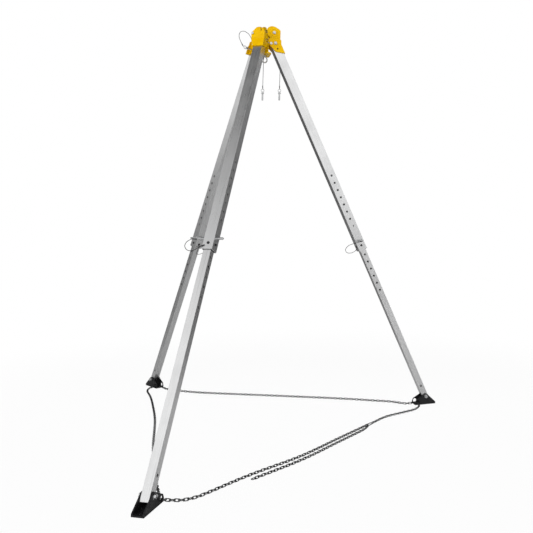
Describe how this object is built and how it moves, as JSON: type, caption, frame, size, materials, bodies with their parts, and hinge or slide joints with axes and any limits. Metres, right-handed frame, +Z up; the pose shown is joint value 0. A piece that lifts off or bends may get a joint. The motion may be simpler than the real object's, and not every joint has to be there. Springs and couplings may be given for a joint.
{
  "type": "rescue tripod",
  "caption": "Rescue tripod with a painted bracket head, rope sheaves and a hanging eye, pinned telescopic aluminium legs, tilting feet and a link chain that ties the feet together.",
  "frame": {"origin": "middle of the box round the tripod, on the floor under the feet", "axes": "+Z up; +X from the tripod axis towards the right leg; the back leg stands at 120 degrees and the front leg at 240 degrees about +Z"},
  "size_m": [1.7952, 2.0728, 2.3968],
  "materials": {
    "yellow_paint": "glossy yellow powder coat",
    "bright_steel": "bright plated steel",
    "sheave": "black nylon",
    "wire_rope": "laid wire rope",
    "leg_alloy": "satin anodised",
    "black_plastic": "matte black",
    "black_screws": "blackened steel",
    "foot_black": "black powder coat",
    "chain_zinc": "dull zinc plate"
  },
  "bodies": {
    "head": {"hub_post": "yellow_paint", "hub_plate": "yellow_paint", "eye_bolt": "bright_steel", "bracket_front": "yellow_paint", "bracket_right": "yellow_paint", "bracket_back": "yellow_paint", "leg_bolt_front": "bright_steel", "leg_bolt_right": "bright_steel", "leg_bolt_back": "bright_steel", "sheave_axle_front": "bright_steel", "sheave_axle_right": "bright_steel", "head_screws": "bright_steel", "hang_pin_front": "bright_steel", "hang_pin_right": "bright_steel", "head_wire_front": "wire_rope", "head_wire_right": "wire_rope", "head_wire_back": "wire_rope", "chain_back": "chain_zinc", "chain_left": "chain_zinc", "chain_front": "chain_zinc", "chain_tail": "chain_zinc", "chain_close": "chain_zinc", "chain_ring": "chain_zinc"},
    "sheave_front": {"sheave_front": "sheave"},
    "sheave_right": {"sheave_right": "sheave"},
    "lock_pin_back": {"lock_pin_back": "bright_steel"},
    "outer_leg_front": {"outer_tube_front": "leg_alloy", "top_plug_front": "black_plastic", "guide_bush_front": "black_plastic", "bush_screws_front": "black_screws", "leg_wire_front": "wire_rope"},
    "inner_leg_front": {"inner_tube_front": "leg_alloy", "slider_front": "black_plastic"},
    "leg_pin_front": {"leg_pin_front": "bright_steel"},
    "foot_front": {"foot_front": "foot_black", "foot_bolt_front": "bright_steel"},
    "outer_leg_right": {"outer_tube_right": "leg_alloy", "top_plug_right": "black_plastic", "guide_bush_right": "black_plastic", "bush_screws_right": "black_screws", "leg_wire_right": "wire_rope"},
    "inner_leg_right": {"inner_tube_right": "leg_alloy", "slider_right": "black_plastic"},
    "leg_pin_right": {"leg_pin_right": "bright_steel"},
    "foot_right": {"foot_right": "foot_black", "foot_bolt_right": "bright_steel"},
    "outer_leg_back": {"outer_tube_back": "leg_alloy", "top_plug_back": "black_plastic", "guide_bush_back": "black_plastic", "bush_screws_back": "black_screws", "leg_wire_back": "wire_rope"},
    "inner_leg_back": {"inner_tube_back": "leg_alloy", "slider_back": "black_plastic"},
    "leg_pin_back": {"leg_pin_back": "bright_steel"},
    "foot_back": {"foot_back": "foot_black", "foot_bolt_back": "bright_steel"}
  },
  "joints": [
    {"name": "sheave_turn_front", "type": "hinge", "parent": "head", "child": "sheave_front", "pos_m": [-0.30207, -0.054, 2.33185], "axis": [0.866, -0.5, 0], "continuous": true},
    {"name": "sheave_turn_right", "type": "hinge", "parent": "head", "child": "sheave_right", "pos_m": [-0.2256, 0.0175, 2.35585], "axis": [0, 1, 0], "continuous": true},
    {"name": "lock_pin_draw_back", "type": "slide", "parent": "head", "child": "lock_pin_back", "axis": [-0.866, -0.5, 0], "range_m": [0, 0.04], "deforming": ["head_wire_back"]},
    {"name": "leg_fold_front", "type": "hinge", "parent": "head", "child": "outer_leg_front", "pos_m": [-0.3141, -0.05283, 2.27585], "axis": [0.866, -0.5, 0], "range_deg": [0, 21], "deforming": ["chain_back", "chain_left", "chain_front", "chain_tail", "chain_close", "chain_ring"]},
    {"name": "leg_slide_front", "type": "slide", "parent": "outer_leg_front", "child": "inner_leg_front", "axis": [-0.2137, -0.3701, -0.9041], "range_m": [-0.3, 0]},
    {"name": "leg_pin_draw_front", "type": "slide", "parent": "outer_leg_front", "child": "leg_pin_front", "axis": [-0.866, 0.5, 0], "range_m": [0, 0.09], "deforming": ["leg_wire_front"]},
    {"name": "foot_tilt_front", "type": "hinge", "parent": "inner_leg_front", "child": "foot_front", "pos_m": [-0.84018, -0.96402, 0.05], "axis": [0.866, -0.5, 0], "range_deg": [-35, 35]},
    {"name": "leg_fold_right", "type": "hinge", "parent": "head", "child": "outer_leg_right", "pos_m": [-0.2226, 0, 2.27585], "axis": [0, 1, 0], "range_deg": [0, 21]},
    {"name": "leg_slide_right", "type": "slide", "parent": "outer_leg_right", "child": "inner_leg_right", "axis": [0.4274, 0, -0.9041], "range_m": [-0.3, 0]},
    {"name": "leg_pin_draw_right", "type": "slide", "parent": "outer_leg_right", "child": "leg_pin_right", "axis": [0, -1, 0], "range_m": [0, 0.09], "deforming": ["leg_wire_right"]},
    {"name": "foot_tilt_right", "type": "hinge", "parent": "inner_leg_right", "child": "foot_right", "pos_m": [0.82956, 0, 0.05], "axis": [0, 1, 0], "range_deg": [-35, 35]},
    {"name": "leg_fold_back", "type": "hinge", "parent": "head", "child": "outer_leg_back", "pos_m": [-0.3141, 0.05283, 2.27585], "axis": [-0.866, -0.5, 0], "range_deg": [0, 21]},
    {"name": "leg_slide_back", "type": "slide", "parent": "outer_leg_back", "child": "inner_leg_back", "axis": [-0.2137, 0.3701, -0.9041], "range_m": [-0.3, 0]},
    {"name": "leg_pin_draw_back", "type": "slide", "parent": "outer_leg_back", "child": "leg_pin_back", "axis": [0.866, 0.5, 0], "range_m": [0, 0.09], "deforming": ["leg_wire_back"]},
    {"name": "foot_tilt_back", "type": "hinge", "parent": "inner_leg_back", "child": "foot_back", "pos_m": [-0.84018, 0.96402, 0.05], "axis": [-0.866, -0.5, 0], "range_deg": [-35, 35]}
  ]
}
